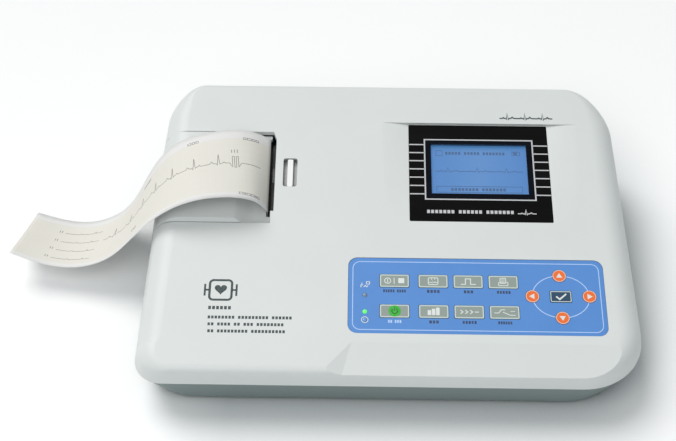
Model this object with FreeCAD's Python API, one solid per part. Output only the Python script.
import FreeCAD, Part
import math
import os

# One-channel tabletop recorder for heart signals. Millimetres, X to the right, Y to the back, Z up.
# The origin is the middle of the casing's footprint, on the surface the machine stands on.

V = FreeCAD.Vector

# ---- casing ----
CASE_W = 315.0
CASE_D = 215.0
SEAM_Z = 26.0
TOP_REAR_Z = 76.0
TOP_REAR_Y = 104.5
DECK_TILT = 10.0
WALL = 3.0
SIDE_DRAFT = 0.22
FRONT_DRAFT = 0.07
REAR_DRAFT = 0.03
FOOT_H = 3.0
BASE_IN = 6.0
SEAM_STEP = 0.6
SKIN_IN = 1.2
LOFT_TOP_Z = 90.0
SEAM_CORNERS = (18.0, 40.0, 36.0, 28.0)
TOP_CORNERS = (40.0, 36.0, 26.0, 20.0)
BASE_CORNERS = (30.0, 44.0, 38.0, 38.0)
SIDE_ROUND = 16.0
FRONT_ROUND = 6.0
REAR_ROUND = 3.0
GAP = 0.35
BIG = 400.0

# ---- front ramp under the keypad ----
RAMP_S = -87.2
RAMP_DROP = 2.4
RAMP_LEFT_X = -23.8
RAMP_EDGE_S = -106.5

# ---- screen ----
SCREEN_S = -1.0
SCREEN_LEN = 77.5
SCREEN_DEPTH = 1.8
SCREEN_FADE = (-9.0, 12.3, 105.5, 129.0)
PANEL = (12.8, 105.0, 0.4, 76.9)
PANEL_T = 2.0
FRAME_HOLE = (23.2, 94.8, 17.4, 65.0)
GLASS = (27.4, 90.6, 22.1, 61.8)

# ---- keypad, in deck coordinates ----
PAD = (-26.2, 133.6, -81.2, -28.2)
PAD_ROUND = 6.0
PAD_DEPTH = 3.0
PAD_FLOOR = 1.8
CIRCUIT_T = 0.6
OVERLAY_TOP = -0.3
KEY_TOP = -0.1
KEY_LOW = -1.5
KEY_GAP = 0.3
KEY_W = 18.2
KEY_H = 8.9
KEY_X = (2.6, 26.8, 48.7, 70.6)
KEY_S = (-44.5, -65.8)
ARROW_R = 4.2
ARROWS = {"left": (88.3, -54.2), "right": (123.8, -53.9), "up": (105.9, -39.5), "down": (106.2, -69.0)}
SET_KEY = (99.4, 112.6, -58.1, -50.3)
LAMP_X = -15.8
LAMP_S = (-54.7, -66.3, -72.0)
LAMP_R = 1.5

# ---- recorder ----
OPEN_X = -77.3
OPEN_Y = (-3.45, 66.6)
SLOT_X = -75.2
SLOT_S = (5.6, 61.0)
HINGE_X = -153.8
HINGE_Z = 29.6
HINGE_PIN_R = 1.5
HINGE_KNUCKLE_R = 2.6
HINGE_SWEEP_R = 3.3
RUN_FIT = 0.05
DOOR_WALL = 2.4
CROWN = 2.0
PLATEN_X = -86.6
PLATEN_W = -15.0
PLATEN_R = 7.0
SHAFT_R = 2.0
WEB_S = (5.0, 62.2)
ROLL_X = -113.0
ROLL_W = -27.0
ROLL_R = 20.0
CORE_R = 6.2
SPINDLE_R = 4.7
MODULE = 0.8
PLATEN_TEETH = 16
IDLER_TEETH = 22
PINION_TEETH = 14
TOOTH_SLACK = 0.25
GEAR_S = (-2.2, 1.6)
HEAD_X = -78.85

# ---- latch ----
LATCH_SLOT = (-70.0, -60.8, 24.6, 46.6)
LATCH_BAR = (-67.2, -63.6, 25.0, 46.2)

# ---- back panel ----
REAR_PANEL = (12.0, 138.0, 31.5, 66.5)
REAR_FACE_Y = 101.0
REAR_PANEL_T = 2.0
INLET_X = 116.0
SWITCH_X = 88.0
EARTH_X = 70.0
SOCKET_X = 38.0
PANEL_MID_Z = 49.0
INLET_LIFT = 4.6
JACK_SPACING = 33.3

RAD = math.radians(DECK_TILT)
DECK_Z = TOP_REAR_Z - TOP_REAR_Y * math.tan(RAD)
DECK = FreeCAD.Placement(V(0, 0, DECK_Z), FreeCAD.Rotation(V(1, 0, 0), DECK_TILT))
SCREEN_TILT = -math.degrees(math.atan2(SCREEN_DEPTH, SCREEN_LEN))
SCREEN = DECK.multiply(FreeCAD.Placement(V(0, SCREEN_S, 0), FreeCAD.Rotation(V(1, 0, 0), SCREEN_TILT)))


# ---- helpers ----
def box(x0, x1, y0, y1, z0, z1):
    return Part.makeBox(x1 - x0, y1 - y0, z1 - z0, V(x0, y0, z0))


def placed(shape, placement):
    moved = shape.copy()
    moved.Placement = placement.multiply(shape.Placement)
    return moved


def on_deck(shape):
    return placed(shape, DECK)


def deck_box(x0, x1, s0, s1, w0, w1):
    return on_deck(box(x0, x1, s0, s1, w0, w1))


def deck_point(x, s, w):
    return DECK.multVec(V(x, s, w))


def rod_y(x, z, y0, y1, radius):
    """A round bar along Y."""
    return Part.makeCylinder(radius, y1 - y0, V(x, y0, z), V(0, 1, 0))


def rod_z(x, y, z0, z1, radius):
    """A round bar along Z."""
    return Part.makeCylinder(radius, z1 - z0, V(x, y, z0), V(0, 0, 1))


def ring_y(x, z, y0, y1, outer, inner):
    return rod_y(x, z, y0, y1, outer).cut(rod_y(x, z, y0 - 1, y1 + 1, inner))


def fuse_all(shapes):
    joined = shapes[0]
    for other in shapes[1:]:
        joined = joined.fuse(other)
    return joined.removeSplitter()


def group(shapes):
    return Part.makeCompound(shapes)


def rounded_wire(x0, x1, y0, y1, z, corners):
    """A rectangle with its own radius at front-left, front-right, rear-right and rear-left."""
    centres = (
        (x0 + corners[0], y0 + corners[0]),
        (x1 - corners[1], y0 + corners[1]),
        (x1 - corners[2], y1 - corners[2]),
        (x0 + corners[3], y1 - corners[3]),
    )

    def rim(corner, angle):
        a = math.radians(angle)
        cx, cy = centres[corner]
        return V(cx + corners[corner] * math.cos(a), cy + corners[corner] * math.sin(a), z)

    edges = []
    for i in range(4):
        start = 180 + 90 * i
        edges.append(Part.Arc(rim(i, start), rim(i, start + 45), rim(i, start + 90)).toShape())
        edges.append(Part.makeLine(rim(i, start + 90), rim((i + 1) % 4, start + 90)))
    return Part.Wire(edges)


def plate(x0, x1, y0, y1, z0, z1, radius):
    """A flat plate with rounded corners."""
    wire = rounded_wire(x0, x1, y0, y1, z0, (radius,) * 4)
    return Part.Face(wire).extrude(V(0, 0, z1 - z0))


def half_space(p0, p1, p2):
    """A large block on the side of the plane that (p1 - p0) x (p2 - p0) points to."""
    normal = (p1 - p0).cross(p2 - p0)
    block = Part.makeBox(2 * BIG, 2 * BIG, BIG, V(-BIG, -BIG, 0))
    block.Placement = FreeCAD.Placement(p0, FreeCAD.Rotation(V(0, 0, 1), normal))
    return block


def prism_x(points, x0, x1):
    """A bar along X from points given as (y, z)."""
    loop = [V(x0, y, z) for y, z in points]
    return Part.Face(Part.makePolygon(loop + [loop[0]])).extrude(V(x1 - x0, 0, 0))


def prism_z(points, z0, z1):
    """A bar along Z from points given as (x, y)."""
    loop = [V(x, y, z0) for x, y in points]
    return Part.Face(Part.makePolygon(loop + [loop[0]])).extrude(V(0, 0, z1 - z0))


def write(name, shape):
    shape.exportStep("parts/" + name + ".step")


# ---- casing ----
def drafted_block(inset, z0, z1):
    """The casing's plan outline between two heights, with drafted sides."""
    def outline(z):
        up = z - SEAM_Z
        share = up / (LOFT_TOP_Z - SEAM_Z)
        half_w = CASE_W / 2 - inset - SIDE_DRAFT * up
        front_y = FRONT_DRAFT * up + inset - CASE_D / 2
        rear_y = CASE_D / 2 - inset - REAR_DRAFT * up
        radii = [a + (b - a) * share - inset for a, b in zip(SEAM_CORNERS, TOP_CORNERS)]
        return rounded_wire(-half_w, half_w, front_y, rear_y, z, radii)

    return Part.makeLoft([outline(z0), outline(z1)], True, True)


def round_rim(body, inset):
    """Round the upper rim: wide along the sides, narrow along the front and back."""
    normal = DECK.Rotation.multVec(V(0, 0, 1))
    level = deck_point(0, 0, -inset)

    def radius_at(point):
        up = point.z - SEAM_Z
        if abs(point.y - (FRONT_DRAFT * up + inset - CASE_D / 2)) < 0.6:
            return FRONT_ROUND - inset
        if abs(point.y - (CASE_D / 2 - inset - REAR_DRAFT * up)) < 0.6:
            return max(REAR_ROUND - inset, 1.0)
        return SIDE_ROUND - inset

    rows = []
    for number, edge in enumerate(body.Edges, start=1):
        far = max(abs((point - level).dot(normal)) for point in edge.discretize(5))
        if far < 0.001:
            start = radius_at(edge.valueAt(edge.FirstParameter))
            end = radius_at(edge.valueAt(edge.LastParameter))
            rows.append((number, start, end))
    document = FreeCAD.newDocument()
    base = document.addObject("Part::Feature", "base")
    base.Shape = body
    rounding = document.addObject("Part::Fillet", "rounding")
    rounding.Base = base
    rounding.Edges = rows
    document.recompute()
    return rounding.Shape.copy()


def casing_form(inset):
    """The upper casing as one solid, drawn inward by inset."""
    body = drafted_block(inset, SEAM_Z, LOFT_TOP_Z)
    above = deck_box(-BIG, BIG, -BIG, BIG, -inset, BIG)
    return round_rim(body.cut(above), inset)


def ramp_tool():
    """What is cut away above the front ramp and its small three-cornered facet."""
    apex = deck_point(RAMP_LEFT_X, RAMP_S, 0)
    front_left = deck_point(-41.0, RAMP_EDGE_S, 0)
    ramp_left = deck_point(-29.0, RAMP_EDGE_S, -RAMP_DROP)
    right = deck_point(BIG, RAMP_S, 0)
    ramp = half_space(apex, ramp_left, right)
    facet = half_space(apex, front_left, ramp_left)
    return ramp.common(facet)


def screen_tool():
    """What is cut away above the screen's flatter landing, which fades out smoothly on both sides."""
    rear_s = SCREEN_S + SCREEN_LEN
    front_s = SCREEN_S - 3.0
    rise = 3.0 * SCREEN_DEPTH / SCREEN_LEN
    left, flat_left, flat_right, right = SCREEN_FADE

    def rear_point(x):
        """A point of the landing's rear edge, level in the middle and curving up past the deck at its ends."""
        from_left = (x - left) / (flat_left - left)
        from_right = (right - x) / (right - flat_right)
        share = min(1.0, from_left, from_right)
        return V(x, rear_s, rise - (SCREEN_DEPTH + rise) * share * share)

    pieces = []
    for x0, x1 in ((left, flat_left), (flat_left, flat_right), (flat_right, right)):
        steps = 1 if x0 == flat_left else 8
        points = [rear_point(x0 + (x1 - x0) * i / steps) for i in range(steps + 1)]
        rear = Part.BSplineCurve()
        rear.interpolate(points)
        front = Part.makeLine(V(x0, front_s, rise), V(x1, front_s, rise))
        landing = Part.makeRuledSurface(front, rear.toShape())
        pieces.append(landing.extrude(V(0, 0, 12.0)))
    return [on_deck(piece) for piece in pieces]


def door_outline(clear):
    """Plan of the recorder door, drawn inward by clear from its opening."""
    y0 = OPEN_Y[0] + clear
    y1 = OPEN_Y[1] - clear
    if clear == 0:
        step_y = SLOT_S[0]
        return [(-BIG, y0), (OPEN_X, y0), (OPEN_X, step_y), (SLOT_X, step_y), (SLOT_X, SLOT_S[1]),
                (OPEN_X, y1), (-BIG, y1)]
    web_edge = -80.0
    return [(-BIG, y0), (OPEN_X - clear, y0), (OPEN_X - clear, WEB_S[0] - 1.0), (web_edge, WEB_S[0] - 1.0),
            (web_edge, WEB_S[1] + 0.6), (OPEN_X - clear - 0.6, WEB_S[1] + 2.0), (OPEN_X - clear - 0.6, y1),
            (-BIG, y1)]


# Screw posts: x, y, and the height at which each meets the skin or side wall.
POSTS = ((-134.0, -60.0, 45.2), (138.0, -60.0, 44.9), (135.0, 66.0, 66.4), (-138.0, 77.0, 66.4),
         (0.0, -92.0, 36.5), (0.0, 88.0, 71.5))
BOSSES = [(x, y) for x, y, _ in POSTS]


def top_shell(form, inner):
    within = casing_form(SKIN_IN)
    shell = form.cut(inner)
    for extra in [screen_tray(), keypad_tray(), ramp_backing(), rear_wall_pad()] + hinge_bosses():
        shell = shell.fuse(extra.common(within))
    for x, y, top in POSTS:
        shell = shell.fuse(rod_z(x, y, SEAM_Z, top, 4.0))
    shell = shell.cut(ramp_tool())
    for piece in screen_tool():
        shell = shell.cut(piece)
    for x, y in BOSSES:
        shell = shell.cut(rod_z(x, y, SEAM_Z - 20.0, SEAM_Z + 8.0, 1.3))
    shell = shell.cut(prism_z(door_outline(0), SEAM_Z - 1, 100.0))
    shell = shell.cut(screen_pocket()).cut(keypad_pocket())
    shell = shell.cut(on_deck(plate(*LATCH_SLOT, -10.0, 5.0, 1.6)))
    x0, x1, z0, z1 = REAR_PANEL
    shell = shell.cut(box(x0 - 0.2, x1 + 0.2, REAR_FACE_Y - REAR_PANEL_T, 115.0, z0 - 0.2, z1 + 0.2))
    shell = shell.cut(box(x0 + 2, x1 - 2, REAR_FACE_Y - 25.0, 115.0, z0 + 2, z1 - 2))
    shell = shell.cut(rod_y(HINGE_X, HINGE_Z, OPEN_Y[0] - 5.0, OPEN_Y[1] + 5.0, HINGE_PIN_R + 0.02))
    return shell


def ramp_backing():
    """Extra skin under the ramp so the wall keeps its thickness there."""
    return deck_box(RAMP_LEFT_X - 20, 140.0, -107.0, RAMP_S + 2, -WALL - RAMP_DROP, -WALL + 0.5)


def screen_tray():
    """The landing's own skin below the deck."""
    skin = box(-16.0, 126.0, 0.0, SCREEN_LEN + 2.0, -5.0, 1.0)
    return placed(skin, SCREEN)


def screen_pocket():
    x0, x1, q0, q1 = PANEL
    seat = plate(x0 - 0.15, x1 + 0.15, q0 - 0.15, q1 + 0.15, -PANEL_T, 10.0, 1.0)
    window = box(FRAME_HOLE[0] - 2, FRAME_HOLE[1] + 2, FRAME_HOLE[2] - 2, FRAME_HOLE[3] + 2, -12.0, 1.0)
    return placed(seat.fuse(window), SCREEN)


def keypad_tray():
    return deck_box(PAD[0] - 2.5, PAD[1] - 6.0, PAD[2] - 2.5, PAD[3] + 2.5,
                    -PAD_DEPTH - PAD_FLOOR, -WALL + 0.5)


def keypad_pocket():
    x0, x1, s0, s1 = PAD
    seat = on_deck(plate(x0 - 0.15, x1 + 0.15, s0 - 0.15, s1 + 0.15, -PAD_DEPTH, 10.0, PAD_ROUND))
    tail_slot = deck_box(20.0, 42.0, s1 - 6.0, s1 - 4.0, -12.0, -PAD_DEPTH + 1)
    return seat.fuse(tail_slot)


def rear_wall_pad():
    """A thicker patch of back wall that the connector panel is let into."""
    x0, x1, z0, z1 = REAR_PANEL
    return box(x0 - 4, x1 + 4, REAR_FACE_Y - REAR_PANEL_T - 2.0, 110.0, z0 - 4, z1 + 3)


def hinge_bosses():
    ends = []
    for y0, y1 in ((OPEN_Y[0] - 6.0, OPEN_Y[0]), (OPEN_Y[1], OPEN_Y[1] + 6.0)):
        ends.append(box(HINGE_X - 5.0, HINGE_X + 4.0, y0, y1, SEAM_Z, HINGE_Z + 5.0))
    return ends


def bottom_outline(z):
    """The lower casing's outline, narrower towards its base."""
    share = (SEAM_Z - z) / (SEAM_Z - FOOT_H)
    inset = SEAM_STEP + (BASE_IN - SEAM_STEP) * share
    radii = [a + (b - a) * share - SEAM_STEP for a, b in zip(SEAM_CORNERS, BASE_CORNERS)]
    return (CASE_W / 2 - inset, CASE_D / 2 - inset, radii)


def bottom_block(z0, z1, inward):
    wires = []
    for z in (z0, z1):
        half_w, half_d, radii = bottom_outline(z)
        half_w -= inward
        half_d -= inward
        wires.append(rounded_wire(-half_w, half_w, -half_d, half_d, z, [r - inward for r in radii]))
    return Part.makeLoft(wires, True, True)


BATTERY_BAY = (-116.0, -34.0, -94.0, -16.0)
FEET = ((-128.0, -86.0), (128.0, -86.0), (128.0, 86.0), (-128.0, 86.0))
VENTS = [(x, 40.0) for x in range(60, 121, 10)]


def bottom_shell():
    shell = bottom_block(FOOT_H, SEAM_Z, 0)
    lower_edges = [e for e in shell.Edges if e.BoundBox.ZMax < FOOT_H + 0.01]
    shell = shell.makeFillet(3.0, lower_edges)
    shell = shell.cut(bottom_block(FOOT_H + 2.5, SEAM_Z, 2.5))
    x0, x1, y0, y1 = BATTERY_BAY
    walls = box(x0 - 2, x1 + 2, y0 - 2, y1 + 2, FOOT_H + 1, SEAM_Z - 2).cut(
        box(x0, x1, y0, y1, 0, SEAM_Z))
    posts = [rod_z(x, y, FOOT_H + 0.5, SEAM_Z - 18.3, 5.0) for x, y in BOSSES]
    standoffs = [rod_z(x, y, FOOT_H + 1, 12.0, 3.0) for x in (-26.0, 128.0) for y in (-70.0, 60.0)]
    shell = fuse_all([shell, walls] + posts + standoffs)
    shell = shell.cut(box(x0 + 2, x1 - 2, y0 + 2, y1 - 2, -1, 10.0))
    shell = shell.cut(box(x0 - 1.2, x1 + 1.2, y0 - 1.2, y1 + 1.2, -1, FOOT_H + 1.6))
    for x, y in BOSSES:
        shell = shell.cut(rod_z(x, y, 0, 20, 1.7)).cut(rod_z(x, y, 0, FOOT_H + 2.0, 3.2))
    for x, y in VENTS:
        shell = shell.cut(plate(x - 1.5, x + 1.5, y - 16, y + 16, 0, 8, 1.4))
    for x, y in FEET:
        shell = shell.cut(rod_z(x, y, 0, FOOT_H + 1.0, 8.0))
    return shell


def feet():
    return group([rod_z(x, y, 0, FOOT_H + 1.0, 7.9) for x, y in FEET])


def screw_z(x, y, head_z, length, head_r):
    """A screw driven upward: round head below, plain shank above, cross recess in the head."""
    head = rod_z(x, y, head_z, head_z + 1.8, head_r)
    shank = rod_z(x, y, head_z + 1.8, head_z + length, 1.25)
    slot_a = box(x - 1.6, x + 1.6, y - 0.3, y + 0.3, head_z - 1, head_z + 0.9)
    slot_b = box(x - 0.3, x + 0.3, y - 1.6, y + 1.6, head_z - 1, head_z + 0.9)
    return head.fuse(shank).cut(slot_a).cut(slot_b)


def casing_screws():
    return group([screw_z(x, y, FOOT_H + 0.2, 18.0, 3.0) for x, y in BOSSES])


def battery_cover():
    x0, x1, y0, y1 = BATTERY_BAY
    cover = plate(x0 - 0.9, x1 + 0.9, y0 - 0.9, y1 + 0.9, FOOT_H, FOOT_H + 1.5, 1.0)
    tab = box(x0 + 30, x0 + 52, y1 - 2.6, y1 - 2.2, FOOT_H + 1, 9.0)
    grip = [box(x0 + 25 + 4 * i, x0 + 27 + 4 * i, y1 - 16, y1 - 4, 0, FOOT_H + 0.5) for i in range(8)]
    cover = cover.fuse(tab)
    for groove in grip:
        cover = cover.cut(groove)
    return cover


def battery_pack():
    """Four round cells side by side in a shrink sleeve, joined by a thin base."""
    x0, x1, y0, y1 = BATTERY_BAY
    radius = 9.1
    pitch = 17.8
    first_y = (y0 + y1) / 2 - 1.5 * pitch
    cells = []
    for i in range(4):
        cell = Part.makeCylinder(radius, 68.0, V(x0 + 6, first_y + i * pitch, 15.0), V(1, 0, 0))
        cells.append(cell)
    web = box(x0 + 8, x0 + 72, first_y, first_y + 3 * pitch, 8.0, 22.0)
    return fuse_all(cells + [web])


# ---- recorder ----
def door_shell(form):
    """Top panel and left wall in one, with cheeks that carry the platen."""
    plan = prism_z(door_outline(GAP), SEAM_Z, 100.0)
    side = deck_side(OPEN_Y[0] + GAP)
    far = deck_side(OPEN_Y[1] - GAP)
    ridge = [(side, -6.0), (side, 0.0), (side + CROWN, CROWN), (far - CROWN, CROWN), (far, 0.0), (far, -6.0)]
    crown_bar = on_deck(prism_x(ridge, -170.0, -78.0))
    lifted = form.copy()
    lifted.translate(V(0.6 * CROWN, 0, CROWN))
    solid = form.common(plan).fuse(lifted.common(crown_bar).common(plan)).cut(lip_tool())
    hollow_side = casing_form(DOOR_WALL)
    hollow = hollow_side.cut(box(-100.0, 0, -BIG, BIG, 0, 200))
    hollow_right = deck_box(-101.0, -70.0, -BIG, BIG, -60.0, -6.2)
    hollow_bottom = box(-156.0 + DOOR_WALL, -90.0, -BIG, BIG, 0, SEAM_Z + 3)
    skin = solid.cut(hollow).cut(hollow_right).cut(hollow_bottom)
    skin = skin.cut(lower_edge_tool())
    knuckle = rod_y(HINGE_X, HINGE_Z, OPEN_Y[0] + GAP + 0.1, OPEN_Y[1] - GAP - 0.1, HINGE_KNUCKLE_R)
    door = fuse_all([skin, knuckle] + door_cheeks() + [door_catch()])
    door = door.cut(rod_y(HINGE_X, HINGE_Z, -10, 75, HINGE_PIN_R + RUN_FIT))
    bore = on_deck(rod_y(PLATEN_X, PLATEN_W, -12, 70, SHAFT_R + RUN_FIT))
    return door.cut(bore)


def deck_side(y):
    """The slope distance of a point on the deck at depth y."""
    return y / math.cos(RAD)


def lip_tool():
    """Everything above the paper lip, which dips below the deck towards the slot."""
    dip = [V(x, 0, w) for x, w in ((-104.0, 2.5), (-99.0, 1.5), (-95.0, -0.9), (-91.0, -2.9), (-86.0, -3.6))]
    curve = Part.BSplineCurve()
    curve.interpolate(dip)
    rest = [dip[-1], V(-70.0, 0, -4.2), V(-70.0, 0, 8.0), V(dip[0].x, 0, 8.0), dip[0]]
    sides = [Part.makeLine(a, b) for a, b in zip(rest, rest[1:])]
    face = Part.Face(Part.Wire([curve.toShape()] + sides))
    bar = face.extrude(V(0, 200, 0))
    bar.translate(V(0, -100, 0))
    return on_deck(bar)


def lower_edge_tool():
    """Trims the wall's lower edge to a round about the hinge."""
    block = box(-170.0, HINGE_X + 8.0, -BIG, BIG, SEAM_Z - 5, HINGE_Z)
    return block.cut(rod_y(HINGE_X, HINGE_Z, -BIG, BIG, HINGE_SWEEP_R))


def door_cheeks():
    """Two flat ears with faces square to the hinge, one at each end of the platen."""
    cheeks = []
    for y0, y1 in ((OPEN_Y[0] + GAP, OPEN_Y[0] + GAP + 2.0), (OPEN_Y[1] - GAP - 1.4, OPEN_Y[1] - GAP)):
        slab = box(-BIG, BIG, y0, y1, 0, 100)
        ear = deck_box(-99.0, -82.0, -30, 90, -19.0, -5.0)
        cheeks.append(ear.common(slab))
    return cheeks


def door_catch():
    """A short rib under the lip that the latch nose holds."""
    return deck_box(-83.0, -80.2, 28.0, 43.0, -6.6, -5.5)


def involute(angle):
    return math.tan(angle) - angle


def gear(teeth, centre_x, centre_w, s0, s1, tooth_angle):
    """An involute gear about a slope-wise axis, with one tooth centred on tooth_angle."""
    pitch_r = MODULE * teeth / 2
    pressure = math.radians(20.0)
    base_r = pitch_r * math.cos(pressure)
    tip_r = pitch_r + 0.85 * MODULE
    root_r = pitch_r - 1.2 * MODULE
    half = math.pi / (2 * teeth) - TOOTH_SLACK / (2 * pitch_r)
    start_r = max(base_r, root_r) + 0.01
    flank = []
    for i in range(5):
        r = start_r + (tip_r - start_r) * i / 4
        flank.append((r, half + involute(pressure) - involute(math.acos(base_r / r))))
    points = []
    for k in range(teeth):
        middle = tooth_angle + 2 * math.pi * k / teeth
        side = [(root_r, -flank[0][1])] + [(r, -a) for r, a in flank]
        side += [(r, a) for r, a in reversed(flank)] + [(root_r, flank[0][1])]
        for r, a in side:
            points.append(V(centre_x + r * math.cos(middle + a), s0, centre_w + r * math.sin(middle + a)))
    face = Part.Face(Part.makePolygon(points + [points[0]]))
    return face.extrude(V(0, s1 - s0, 0))


def gear_layout():
    """Centres and tooth angles of the three gears, in mesh as drawn."""
    swing_x = PLATEN_X - HINGE_X
    swing_z = DECK_Z + PLATEN_W - HINGE_Z
    down = math.atan2(-swing_x, swing_z)
    reach = MODULE * (PLATEN_TEETH + IDLER_TEETH) / 2 + 0.1
    idler_x = PLATEN_X + reach * math.cos(down)
    idler_w = PLATEN_W + reach * math.sin(down)
    idler_angle = down + math.pi + math.pi / IDLER_TEETH
    across = math.radians(-22.0)
    reach = MODULE * (IDLER_TEETH + PINION_TEETH) / 2 + 0.1
    pinion_x = idler_x + reach * math.cos(across)
    pinion_w = idler_w + reach * math.sin(across)
    step = 2 * math.pi / IDLER_TEETH
    offset = (idler_angle - across) % step
    pinion_angle = across + math.pi - offset * IDLER_TEETH / PINION_TEETH + math.pi / PINION_TEETH
    return {
        "platen": (PLATEN_X, PLATEN_W, down),
        "idler": (idler_x, idler_w, idler_angle),
        "pinion": (pinion_x, pinion_w, pinion_angle),
    }


def platen_roller():
    return on_deck(ring_y(PLATEN_X, PLATEN_W, WEB_S[0] + 0.2, WEB_S[1] - 0.2, PLATEN_R, SHAFT_R + 1.0))


def platen_shaft(layout):
    """Steel shaft with a thicker middle and its moulded gear at the front end."""
    x, w, angle = layout["platen"]
    shaft = rod_y(x, w, -5.5, 64.2, SHAFT_R)
    middle = rod_y(x, w, WEB_S[0] + 0.2, WEB_S[1] - 0.2, SHAFT_R + 1.0)
    toothed = gear(PLATEN_TEETH, x, w, GEAR_S[0], GEAR_S[1], angle)
    return on_deck(fuse_all([shaft, middle, toothed]))


def idler_gear(layout):
    x, w, angle = layout["idler"]
    return on_deck(gear(IDLER_TEETH, x, w, *GEAR_S, angle).cut(rod_y(x, w, -9, 9, 1.5 + RUN_FIT)))


def motor_pinion(layout):
    x, w, angle = layout["pinion"]
    shaft = rod_y(x, w, GEAR_S[0] - 0.5, 9.0, 1.5)
    return on_deck(gear(PINION_TEETH, x, w, *GEAR_S, angle).fuse(shaft).removeSplitter())


def motor_body(layout):
    x, w, _ = layout["pinion"]
    can = rod_y(x, w, 3.3, 20.0, 12.0)
    ears = box(x - 16.0, x + 16.0, 3.3, 4.5, w - 4.0, w + 4.0)
    bore = rod_y(x, w, 0, 10.0, 1.5 + RUN_FIT)
    return on_deck(can.fuse(ears).removeSplitter().cut(bore))


def gear_plate(layout):
    """Steel plate that holds the motor and the idler's post."""
    px, pw, _ = layout["pinion"]
    ix, iw, _ = layout["idler"]
    sheet = box(-89.4, px + 18.0, 2.1, 3.3, pw - 13.0, -23.0)
    foot = box(-89.4, px + 18.0, 3.3, 12.0, pw - 13.0, pw - 12.0).cut(box(px - 13, px + 13, 0, 30, -60, 0))
    post = rod_y(ix, iw, GEAR_S[0] - 0.6, 2.5, 1.5)
    return on_deck(fuse_all([sheet, foot, post]).cut(rod_y(px, pw, -5, 5, 4.0)))


def paper_tray():
    """Open trough for the roll, with a low side where the paper runs out."""
    x0 = ROLL_X - ROLL_R - 1.5
    x1 = ROLL_X + ROLL_R + 1.5
    s0 = WEB_S[0] - 1.0
    s1 = WEB_S[1] + 1.0
    w0 = ROLL_W - ROLL_R - 1.2
    outer = box(x0 - 1.6, x1 + 1.6, s0 - 1.6, s1 + 1.6, w0 - 1.6, ROLL_W + 6.0)
    tray = outer.cut(box(x0, x1, s0, s1, w0, 20.0))
    tray = tray.cut(box(x1 - 12.0, x1 + 5.0, s0, s1, w0 + 8.0, 20.0))
    for y0 in (s0 - 3.0, s1):
        tray = tray.cut(rod_y(ROLL_X, ROLL_W, y0, y0 + 3.0, SPINDLE_R + 0.02))
    return on_deck(tray)


def roll_spindle():
    s0 = WEB_S[0] - 2.6
    s1 = WEB_S[1] + 2.6
    return on_deck(rod_y(ROLL_X, ROLL_W, s0, s1, SPINDLE_R))


def print_head():
    """Ceramic strip on an aluminium carrier with fins behind it."""
    s0, s1 = WEB_S
    ceramic = box(HEAD_X, HEAD_X + 1.0, s0, s1, -20.0, -10.0)
    carrier = box(HEAD_X + 1.0, HEAD_X + 3.0, s0 - 0.5, s1 + 0.5, -21.0, -8.6)
    fins = [box(HEAD_X + 3.0, HEAD_X + 4.2, s0 + 4 + 6 * i, s0 + 6 + 6 * i, -21.0, -8.6) for i in range(9)]
    return on_deck(fuse_all([ceramic, carrier] + fins))


def head_bracket():
    plate_part = box(-69.2, -67.8, 3.0, 64.0, -22.5, -8.0)
    foot = box(-67.8, -60.0, 3.0, 64.0, -22.5, -21.3)
    return on_deck(plate_part.fuse(foot).removeSplitter())


def coil(length, radius, wire, turns):
    """A compression spring along X, with its first end at the origin."""
    helix = Part.makeHelix((length - wire) / turns, length - wire, radius - wire / 2)
    ring = Part.Wire(Part.makeCircle(wire / 2, V(radius - wire / 2, 0, 0), V(0, 1, 0)))
    body = Part.Wire(helix).makePipeShell([ring], True, True)
    body.Placement = FreeCAD.Placement(V(wire / 2, 0, 0), FreeCAD.Rotation(V(0, 1, 0), 90))
    return body


def head_springs():
    """Two bent leaves of spring steel that push the head against the platen."""
    back_x = HEAD_X + 9.6
    tip_x = HEAD_X + 4.3
    thin = 0.45
    outer = [(back_x, -19.5), (tip_x, -15.5), (tip_x, -14.5), (back_x, -10.5)]
    inner = [(back_x, -11.1), (tip_x + thin, -14.8), (tip_x + thin, -15.2), (back_x, -18.9)]
    leaf = outer + inner
    springs = []
    for s in (14.0, 46.0):
        loop = [V(x, s, w) for x, w in leaf]
        springs.append(on_deck(Part.Face(Part.makePolygon(loop + [loop[0]])).extrude(V(0, 7.0, 0))))
    return group(springs)


def tear_bar():
    """Serrated strip at the casing's side of the slot."""
    s0, s1 = SLOT_S[0] + 1.0, SLOT_S[1] - 1.0
    teeth = 40
    pitch = (s1 - s0) / teeth
    points = [(SLOT_X + 1.0, s0), (SLOT_X + 1.0, s1)]
    for i in range(teeth, 0, -1):
        points.append((SLOT_X, s0 + i * pitch))
        points.append((SLOT_X - 0.5, s0 + (i - 0.5) * pitch))
    points.append((SLOT_X, s0))
    blade = prism_z(points, -3.9, -3.4)
    return on_deck(blade)


def latch_slider():
    x0, x1, s0, s1 = LATCH_BAR
    bar = plate(x0, x1, s0, s1, -4.5, -0.7, 0.8)
    slide = box(-74.5, -57.0, 22.5, 48.7, -5.4, -4.0)
    nose = box(-77.0, -74.5, 30.0, 41.0, -5.4, -4.1)
    return on_deck(fuse_all([bar, slide, nose]))


def latch_guide():
    floor = box(-74.0, -49.0, 18.0, 53.0, -7.4, -5.8)
    rails = [box(-74.0, -49.0, 18.0, 22.1, -5.8, -3.3), box(-74.0, -49.0, 49.1, 53.0, -5.8, -3.3)]
    stop = box(-50.6, -49.0, 22.1, 49.1, -5.8, -3.3)
    return on_deck(fuse_all([floor] + rails + [stop]))


def latch_spring():
    spring = coil(3.7, 1.1, 0.35, 4)
    spring.translate(V(-54.4, 35.6, -4.65))
    return on_deck(spring)


def hinge_pin():
    return rod_y(HINGE_X, HINGE_Z, OPEN_Y[0] - 4.5, OPEN_Y[1] + 4.5, HINGE_PIN_R)


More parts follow.
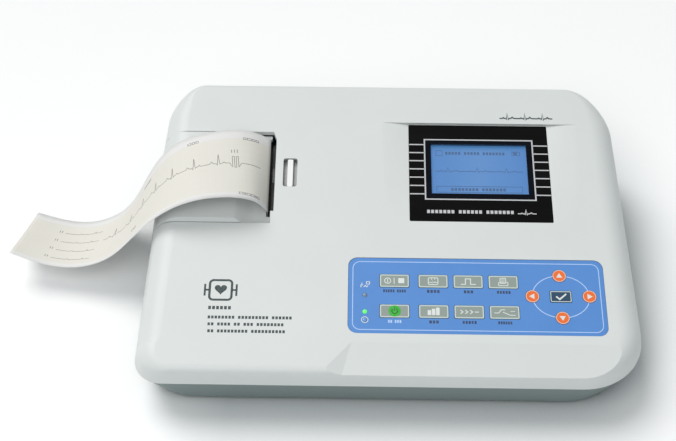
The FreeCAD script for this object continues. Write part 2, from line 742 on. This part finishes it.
def paper_path():
    """Middle line of the loaded paper from the roll to the slot, as (x, w) in the deck's frame."""
    lift = PLATEN_R + 0.35
    spread = math.hypot(PLATEN_X - ROLL_X, PLATEN_W - ROLL_W)
    rise = math.atan2(PLATEN_W - ROLL_W, PLATEN_X - ROLL_X)
    lean = rise + math.asin((ROLL_R + 0.35 - lift) / spread)
    start = lean - math.pi / 2
    path = [(ROLL_X + (ROLL_R + 0.35) * math.cos(start), ROLL_W + (ROLL_R + 0.35) * math.sin(start))]
    for i in range(6):
        angle = start * (1 - i / 5.0)
        path.append((PLATEN_X + lift * math.cos(angle), PLATEN_W + lift * math.sin(angle)))
    path.append((PLATEN_X + lift, -5.0))
    return path


# The loose end arches over the door, drops past the left edge and curls on the floor.
# Each row is one place along the strip: its front edge, then its back edge, in the machine's frame.
STRIP_EDGES = (
    ((-79.1, 5.5, 57.0), (-79.1, 61.8, 67.0)),
    ((-86.5, 2.5, 70.5), (-91.0, 59.8, 74.0)),
    ((-108.0, 0.0, 77.0), (-115.5, 56.6, 76.5)),
    ((-137.0, -4.0, 71.5), (-143.0, 52.5, 67.5)),
    ((-162.0, -8.0, 51.5), (-163.0, 48.4, 42.5)),
    ((-184.5, -12.0, 29.0), (-180.0, 43.5, 16.0)),
    ((-215.0, -11.0, 18.5), (-208.0, 43.0, 2.2)),
    ((-250.5, -4.3, 24.7), (-243.0, 49.0, 4.6)),
)
STRIP_T = 0.3
STRIP_ROWS = 28


def smooth_edge(points):
    """Points spread evenly along a smooth curve through the given ones."""
    curve = Part.BSplineCurve()
    curve.interpolate([V(*point) for point in points])
    return curve.toShape().discretize(STRIP_ROWS)


def paper_strip():
    """Thin closed strip: the loaded web inside, then the loose end outside."""
    rows = [(deck_point(x, WEB_S[0], w), deck_point(x, WEB_S[1], w)) for x, w in paper_path()]
    front = smooth_edge([pair[0] for pair in STRIP_EDGES])
    back = smooth_edge([pair[1] for pair in STRIP_EDGES])
    return thicken(rows + list(zip(front, back)))


def thicken(rows):
    """A closed skin of flat facets on both sides of the given rows."""
    normals = []
    for i in range(len(rows)):
        before = rows[max(0, i - 1)]
        after = rows[min(len(rows) - 1, i + 1)]
        along = (after[0] + after[1]) - (before[0] + before[1])
        across = rows[i][1] - rows[i][0]
        normal = along.cross(across)
        normals.append(normal * (STRIP_T / 2 / normal.Length))
    top = [(a + n, b + n) for (a, b), n in zip(rows, normals)]
    low = [(a - n, b - n) for (a, b), n in zip(rows, normals)]
    faces = []

    def triangle(a, b, c):
        faces.append(Part.Face(Part.makePolygon([a, b, c, a])))

    def quad(a, b, c, d):
        triangle(a, b, c)
        triangle(a, c, d)

    for i in range(len(rows) - 1):
        quad(top[i][0], top[i][1], top[i + 1][1], top[i + 1][0])
        quad(low[i][0], low[i + 1][0], low[i + 1][1], low[i][1])
        quad(top[i][0], top[i + 1][0], low[i + 1][0], low[i][0])
        quad(top[i][1], low[i][1], low[i + 1][1], top[i + 1][1])
    quad(top[0][0], low[0][0], low[0][1], top[0][1])
    quad(top[-1][0], top[-1][1], low[-1][1], low[-1][0])
    solid = Part.Solid(Part.Shell(faces))
    if solid.Volume < 0:
        solid.reverse()
    return solid


# ---- screen ----
def screen_parts():
    x0, x1, q0, q1 = PANEL
    hx0, hx1, hq0, hq1 = FRAME_HOLE
    gx0, gx1, gq0, gq1 = GLASS
    panel = plate(x0, x1, q0, q1, -PANEL_T, 0.0, 1.0).cut(box(hx0, hx1, hq0, hq1, -5, 5))
    ring = box(hx0 + 0.1, hx1 - 0.1, hq0 + 0.1, hq1 - 0.1, -PANEL_T, -0.15)
    ring = ring.cut(box(gx0, gx1, gq0, gq1, -5, 5))
    glass = box(gx0 + 0.05, gx1 - 0.05, gq0 + 0.05, gq1 - 0.05, -1.6, -0.35)
    cell = box(gx0 - 5, gx1 + 5, gq0 - 5.5, gq1 + 5, -5.2, -2.2)
    board = box(gx0 - 9, gx1 + 9, gq0 - 12, gq1 + 12, -7.2, -5.2)
    return {
        "display_panel": placed(panel, SCREEN),
        "display_frame": placed(ring, SCREEN),
        "display_glass": placed(glass, SCREEN),
        "lcd_module": placed(cell.fuse(board).removeSplitter(), SCREEN),
    }


# ---- keypad ----
def key_shapes():
    """Every key as a solid in deck coordinates, by name."""
    keys = {}
    for row, s in enumerate(KEY_S):
        for column, x in enumerate(KEY_X):
            cap = plate(x - KEY_W / 2, x + KEY_W / 2, s - KEY_H / 2, s + KEY_H / 2, KEY_LOW, KEY_TOP, 0.8)
            keys["key_%s%d" % ("ab"[row], column + 1)] = cap
    for side, (x, s) in ARROWS.items():
        keys["key_" + side] = rod_z(x, s, KEY_LOW, KEY_TOP, ARROW_R)
    keys["key_set"] = plate(*SET_KEY, KEY_LOW, KEY_TOP, 0.8)
    return keys


def key_wells():
    wells = []
    low = -PAD_DEPTH - 0.1
    for s in KEY_S:
        for x in KEY_X:
            half_w = KEY_W / 2 + KEY_GAP
            half_h = KEY_H / 2 + KEY_GAP
            wells.append(plate(x - half_w, x + half_w, s - half_h, s + half_h, low, 1.0, 1.1))
    for x, s in ARROWS.values():
        wells.append(rod_z(x, s, low, 1.0, ARROW_R + KEY_GAP))
    x0, x1, s0, s1 = SET_KEY
    wells.append(plate(x0 - KEY_GAP, x1 + KEY_GAP, s0 - KEY_GAP, s1 + KEY_GAP, low, 1.0, 1.1))
    return wells


def keypad_overlay():
    x0, x1, s0, s1 = PAD
    sheet = plate(x0, x1, s0, s1, -PAD_DEPTH + CIRCUIT_T, OVERLAY_TOP, PAD_ROUND)
    for well in key_wells():
        sheet = sheet.cut(well)
    for s in LAMP_S:
        sheet = sheet.cut(rod_z(LAMP_X, s, -4.0, 1.0, LAMP_R + 0.05))
    return on_deck(sheet)


def keypad_circuit():
    x0, x1, s0, s1 = PAD
    sheet = plate(x0, x1, s0, s1, -PAD_DEPTH, -PAD_DEPTH + CIRCUIT_T, PAD_ROUND)
    tail = box(21.0, 41.0, s1 - 5.3, s1 - 4.7, -11.0, -PAD_DEPTH + 0.2)
    return on_deck(sheet.fuse(tail).removeSplitter())


def key_domes():
    low = -PAD_DEPTH + CIRCUIT_T
    middle_x = (SET_KEY[0] + SET_KEY[1]) / 2
    middle_s = (SET_KEY[2] + SET_KEY[3]) / 2
    spots = [(x, s) for x in KEY_X for s in KEY_S] + list(ARROWS.values()) + [(middle_x, middle_s)]
    return on_deck(group([Part.makeCone(2.5, 1.6, 0.2, V(x, s, low)) for x, s in spots]))


def status_lamps():
    low = -PAD_DEPTH + CIRCUIT_T
    return on_deck(group([rod_z(LAMP_X, s, low, OVERLAY_TOP + 0.15, LAMP_R) for s in LAMP_S]))


# ---- electronics ----
def main_board():
    """Board on the bottom shell's posts, with its larger components."""
    board = box(-30.0, 132.0, -74.0, 64.0, 12.0, 13.6)
    parts = [
        box(-20.0, -6.0, -50.0, -36.0, 13.6, 15.4),
        box(10.0, 34.0, -52.0, -28.0, 13.6, 16.0),
        box(48.0, 62.0, -40.0, -26.0, 13.6, 15.4),
        box(-26.0, -18.0, 20.0, 50.0, 13.6, 20.0),
        box(20.0, 42.0, -20.0, -14.0, 13.6, 19.0),
        box(76.0, 92.0, -60.0, -44.0, 13.6, 22.0),
    ]
    parts += [rod_z(104.0 + 12 * i, -52.0, 13.6, 24.0, 4.0) for i in range(2)]
    return fuse_all([board] + parts)


def power_board():
    """Mains supply block behind the inlet, with a transformer and two capacitors."""
    board = box(62.0, 128.0, 40.0, 92.0, 24.0, 25.6)
    transformer = box(74.0, 100.0, 46.0, 68.0, 25.6, 44.0)
    parts = [transformer, rod_z(112.0, 54.0, 25.6, 46.0, 7.0), rod_z(124.0, 70.0, 25.6, 40.0, 5.0)]
    legs = [rod_z(x, y, 13.6, 24.0, 2.5) for x in (72.0, 126.0) for y in (46.0, 60.0)]
    return fuse_all([board] + parts + legs)


# ---- back panel ----
def back_panel():
    x0, x1, z0, z1 = REAR_PANEL
    y0 = REAR_FACE_Y - REAR_PANEL_T
    sheet = box(x0, x1, y0, REAR_FACE_Y, z0, z1)
    mid = PANEL_MID_Z
    sheet = sheet.cut(box(INLET_X - 13.7, INLET_X + 13.7, 90, 110, mid - 15.2, mid + 15.2))
    sheet = sheet.cut(box(SWITCH_X - 6.6, SWITCH_X + 6.6, 90, 110, mid - 9.6, mid + 9.6))
    sheet = sheet.cut(rod_y(EARTH_X, mid, 90, 110, 4.02))
    sheet = sheet.cut(box(SOCKET_X - 12.9, SOCKET_X + 12.9, 90, 110, mid - 5.6, mid + 5.6))
    for side in (-1, 1):
        sheet = sheet.cut(rod_y(SOCKET_X + side * JACK_SPACING / 2, mid, 90, 110, 1.6))
    return sheet


def mains_inlet():
    """Flush appliance inlet, with a bay for the fuse drawer below."""
    mid = PANEL_MID_Z
    body = box(INLET_X - 13.5, INLET_X + 13.5, 80.0, REAR_FACE_Y + 0.2, mid - 15.0, mid + 15.0)
    flange = plate_y(INLET_X, mid, 16.0, 16.5, REAR_FACE_Y, REAR_FACE_Y + 1.2, 2.0)
    cavity = inlet_cavity(mid + INLET_LIFT)
    bay = box(INLET_X - 12.2, INLET_X + 12.2, 82.0, 110.0, mid - 13.2, mid - 6.8)
    return fuse_all([body, flange]).cut(cavity).cut(bay)


def inlet_blades():
    """Line, neutral and the leading earth blade."""
    middle_z = PANEL_MID_Z + INLET_LIFT
    blades = []
    for dx, dz in ((-7.0, -2.0), (7.0, -2.0), (0.0, 2.0)):
        blades.append(box(INLET_X + dx - 1.0, INLET_X + dx + 1.0, 86.0, 99.0,
                          middle_z + dz - 2.0, middle_z + dz + 2.0))
    return group(blades)


def inlet_cavity(middle_z):
    half_w, half_h, cut = 12.1, 8.3, 4.0
    outline = [
        (INLET_X - half_w, middle_z - half_h), (INLET_X + half_w, middle_z - half_h),
        (INLET_X + half_w, middle_z + half_h - cut), (INLET_X + half_w - cut, middle_z + half_h),
        (INLET_X - half_w + cut, middle_z + half_h), (INLET_X - half_w, middle_z + half_h - cut),
    ]
    loop = [V(x, 86.0, z) for x, z in outline]
    return Part.Face(Part.makePolygon(loop + [loop[0]])).extrude(V(0, 30.0, 0))


def plate_y(x, z, half_w, half_h, y0, y1, radius):
    """A rounded plate standing across Y."""
    flat = plate(-half_w, half_w, -half_h, half_h, 0, y1 - y0, radius)
    flat.Placement = FreeCAD.Placement(V(x, y1, z), FreeCAD.Rotation(V(1, 0, 0), 90))
    return flat


def fuse_drawer():
    mid = PANEL_MID_Z
    tray = box(INLET_X - 11.9, INLET_X + 11.9, 84.0, REAR_FACE_Y + 1.0, mid - 12.9, mid - 7.1)
    for side in (-1, 1):
        bay = box(INLET_X + side * 5.8 - 4.0, INLET_X + side * 5.8 + 4.0, 86.0, 98.0, mid - 11.7, mid - 6.0)
        tray = tray.cut(bay)
    grip = box(INLET_X - 4.0, INLET_X + 4.0, REAR_FACE_Y - 0.2, REAR_FACE_Y + 2.0, mid - 8.6, mid - 6.0)
    return tray.cut(grip)


def switch_housing():
    mid = PANEL_MID_Z
    body = box(SWITCH_X - 6.4, SWITCH_X + 6.4, 86.0, REAR_FACE_Y, mid - 9.4, mid + 9.4)
    flange = plate_y(SWITCH_X, mid, 7.5, 10.5, REAR_FACE_Y, REAR_FACE_Y + 1.5, 1.0)
    well = box(SWITCH_X - 4.9, SWITCH_X + 4.9, 93.0, 110.0, mid - 8.4, mid + 8.4)
    axle = Part.makeCylinder(1.0, 13.0, V(SWITCH_X - 6.5, 99.0, mid), V(1, 0, 0))
    return fuse_all([fuse_all([body, flange]).cut(well), axle.common(box(0, 200, 90, 110, 0, 100))])


def switch_rocker():
    """Rocker on its axle, drawn with its lower half pressed in."""
    mid = PANEL_MID_Z
    profile = [(-4.0, -3.0), (4.0, -3.0), (7.4, 2.6), (6.9, 3.6), (0.0, 2.2), (-6.9, 3.6), (-7.4, 2.6)]
    loop = [V(SWITCH_X - 4.5, 99.0 + y, mid + z) for z, y in profile]
    cap = Part.Face(Part.makePolygon(loop + [loop[0]])).extrude(V(9.0, 0, 0))
    cap = cap.cut(Part.makeCylinder(1.0 + RUN_FIT, 30.0, V(SWITCH_X - 15.0, 99.0, mid), V(1, 0, 0)))
    cap.rotate(V(SWITCH_X, 99.0, mid), V(1, 0, 0), 8.0)
    return cap


def earth_pin():
    """Equal-potential terminal: a plain pin on a threaded collar."""
    mid = PANEL_MID_Z
    collar = rod_y(EARTH_X, mid, REAR_FACE_Y, REAR_FACE_Y + 2.0, 6.0)
    pin = rod_y(EARTH_X, mid, REAR_FACE_Y + 2.0, REAR_FACE_Y + 14.0, 3.0)
    shank = rod_y(EARTH_X, mid, REAR_FACE_Y - 10.0, REAR_FACE_Y, 4.0)
    nut = rod_y(EARTH_X, mid, REAR_FACE_Y - 5.5, REAR_FACE_Y - REAR_PANEL_T, 6.5)
    return fuse_all([collar, pin, shank, nut])


def d_wire(half_w, half_h, y):
    """The D outline of the lead socket, wider above."""
    slope = 1.4
    corners = [(-half_w, half_h), (half_w, half_h), (half_w - slope, -half_h), (-half_w + slope, -half_h)]
    loop = [V(SOCKET_X + x, y, PANEL_MID_Z + z) for x, z in corners]
    return Part.makePolygon(loop + [loop[0]])


def lead_socket():
    mid = PANEL_MID_Z
    flange = plate_y(SOCKET_X, mid, 19.6, 6.25,
                     REAR_FACE_Y - REAR_PANEL_T - 0.8, REAR_FACE_Y - REAR_PANEL_T, 1.5)
    shell = Part.Face(d_wire(12.5, 4.2, 92.0)).extrude(V(0, REAR_FACE_Y + 5.5 - 92.0, 0))
    block = box(SOCKET_X - 12.0, SOCKET_X + 12.0, 86.0, 98.2, mid - 5.0, mid + 5.0)
    socket = fuse_all([flange, shell, block])
    for side in (-1, 1):
        socket = socket.cut(rod_y(SOCKET_X + side * JACK_SPACING / 2, mid, 90, 110, 1.6))
    return socket


def jackscrews():
    posts = []
    for side in (-1, 1):
        x = SOCKET_X + side * JACK_SPACING / 2
        hexagon = [V(x + 2.75 * math.cos(a), REAR_FACE_Y, PANEL_MID_Z + 2.75 * math.sin(a))
                   for a in (math.radians(60 * k) for k in range(6))]
        head = Part.Face(Part.makePolygon(hexagon + [hexagon[0]])).extrude(V(0, 5.0, 0))
        shank = rod_y(x, PANEL_MID_Z, REAR_FACE_Y - 8.0, REAR_FACE_Y, 1.4)
        hole = rod_y(x, PANEL_MID_Z, REAR_FACE_Y + 1.0, REAR_FACE_Y + 6.0, 1.2)
        posts.append(head.fuse(shank).removeSplitter().cut(hole))
    return group(posts)


def main():
    os.makedirs("parts", exist_ok=True)
    form = casing_form(0)
    inner = casing_form(WALL)
    layout = gear_layout()
    parts = {
        "top_shell": top_shell(form, inner),
        "bottom_shell": bottom_shell(),
        "rubber_feet": feet(),
        "case_screws": casing_screws(),
        "battery_cover": battery_cover(),
        "battery_pack": battery_pack(),
        "door_shell": door_shell(form),
        "door_hinge_pin": hinge_pin(),
        "platen_roller": platen_roller(),
        "platen_shaft": platen_shaft(layout),
        "idler_gear": idler_gear(layout),
        "motor_pinion": motor_pinion(layout),
        "motor_body": motor_body(layout),
        "gear_plate": gear_plate(layout),
        "paper_tray": paper_tray(),
        "roll_spindle": roll_spindle(),
        "paper_roll": on_deck(ring_y(ROLL_X, ROLL_W, *WEB_S, ROLL_R, CORE_R)),
        "roll_core": on_deck(ring_y(ROLL_X, ROLL_W, *WEB_S, CORE_R, SPINDLE_R + 0.3)),
        "print_head": print_head(),
        "head_bracket": head_bracket(),
        "head_springs": head_springs(),
        "tear_bar": tear_bar(),
        "latch_slider": latch_slider(),
        "latch_guide": latch_guide(),
        "latch_spring": latch_spring(),
        "paper_strip": paper_strip(),
        "keypad_overlay": keypad_overlay(),
        "keypad_circuit": keypad_circuit(),
        "key_domes": key_domes(),
        "status_lamps": status_lamps(),
        "main_board": main_board(),
        "power_board": power_board(),
        "back_panel": back_panel(),
        "mains_inlet": mains_inlet(),
        "inlet_blades": inlet_blades(),
        "fuse_drawer": fuse_drawer(),
        "switch_housing": switch_housing(),
        "switch_rocker": switch_rocker(),
        "earth_pin": earth_pin(),
        "lead_socket": lead_socket(),
        "socket_jackscrews": jackscrews(),
    }
    parts.update(screen_parts())
    for name, shape in key_shapes().items():
        parts[name] = on_deck(shape)
    for name, shape in parts.items():
        write(name, shape)


main()
